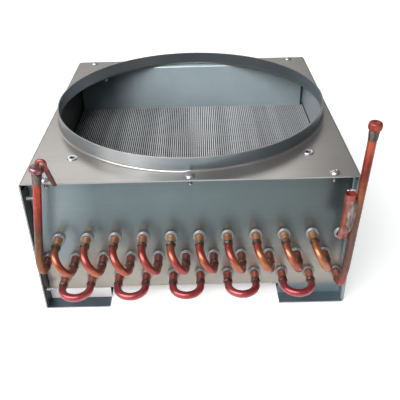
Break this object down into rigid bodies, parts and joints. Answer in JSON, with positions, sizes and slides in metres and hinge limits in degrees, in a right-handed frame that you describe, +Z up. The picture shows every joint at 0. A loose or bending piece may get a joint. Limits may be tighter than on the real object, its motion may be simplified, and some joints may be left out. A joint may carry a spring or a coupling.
{
  "type": "finned condenser coil",
  "caption": "Air-cooled coil of copper tubes in aluminium fins, held by two end plates in a folded sheet case with a drawn fan ring in its top and two capped copper pipes.",
  "frame": {"origin": "on the fan ring's axis, in the top sheet's upper face, which is also the centre of the square of threaded inserts", "axes": "+Z up along the fan ring's axis, +Y along the tubes towards the back, +X along the tube rows towards the outlet pipe"},
  "size_m": [0.2914, 0.3178, 0.193],
  "materials": {
    "galvanised_sheet": "semi-gloss galvanised sheet",
    "fin_aluminium": "bare rippled foil with cut edges",
    "copper": "drawn copper with heat tint and oxide near the joints",
    "braze_metal": "dull, with flux stain",
    "zinc_plated_steel": "bright zinc plating"
  },
  "bodies": {
    "root": {"fan_shroud": "galvanised_sheet", "front_end_plate": "galvanised_sheet", "back_end_plate": "galvanised_sheet", "fins": "fin_aluminium", "return_bends": "copper", "inlet_pipe": "copper", "inlet_cap": "copper", "process_tube": "copper", "outlet_pipe": "copper", "outlet_cap": "copper", "holder_tube": "copper", "hairpin_01": "copper", "hairpin_02": "copper", "hairpin_03": "copper", "hairpin_04": "copper", "hairpin_05": "copper", "hairpin_06": "copper", "hairpin_07": "copper", "hairpin_08": "copper", "hairpin_09": "copper", "hairpin_10": "copper", "hairpin_11": "copper", "hairpin_12": "copper", "hairpin_13": "copper", "hairpin_14": "copper", "hairpin_15": "copper", "hairpin_16": "copper", "braze_rings": "braze_metal", "holder_braze": "braze_metal", "inlet_cap_braze": "braze_metal", "outlet_cap_braze": "braze_metal", "top_screws": "zinc_plated_steel", "side_screws": "zinc_plated_steel", "fan_inserts": "zinc_plated_steel"}
  },
  "joints": []
}
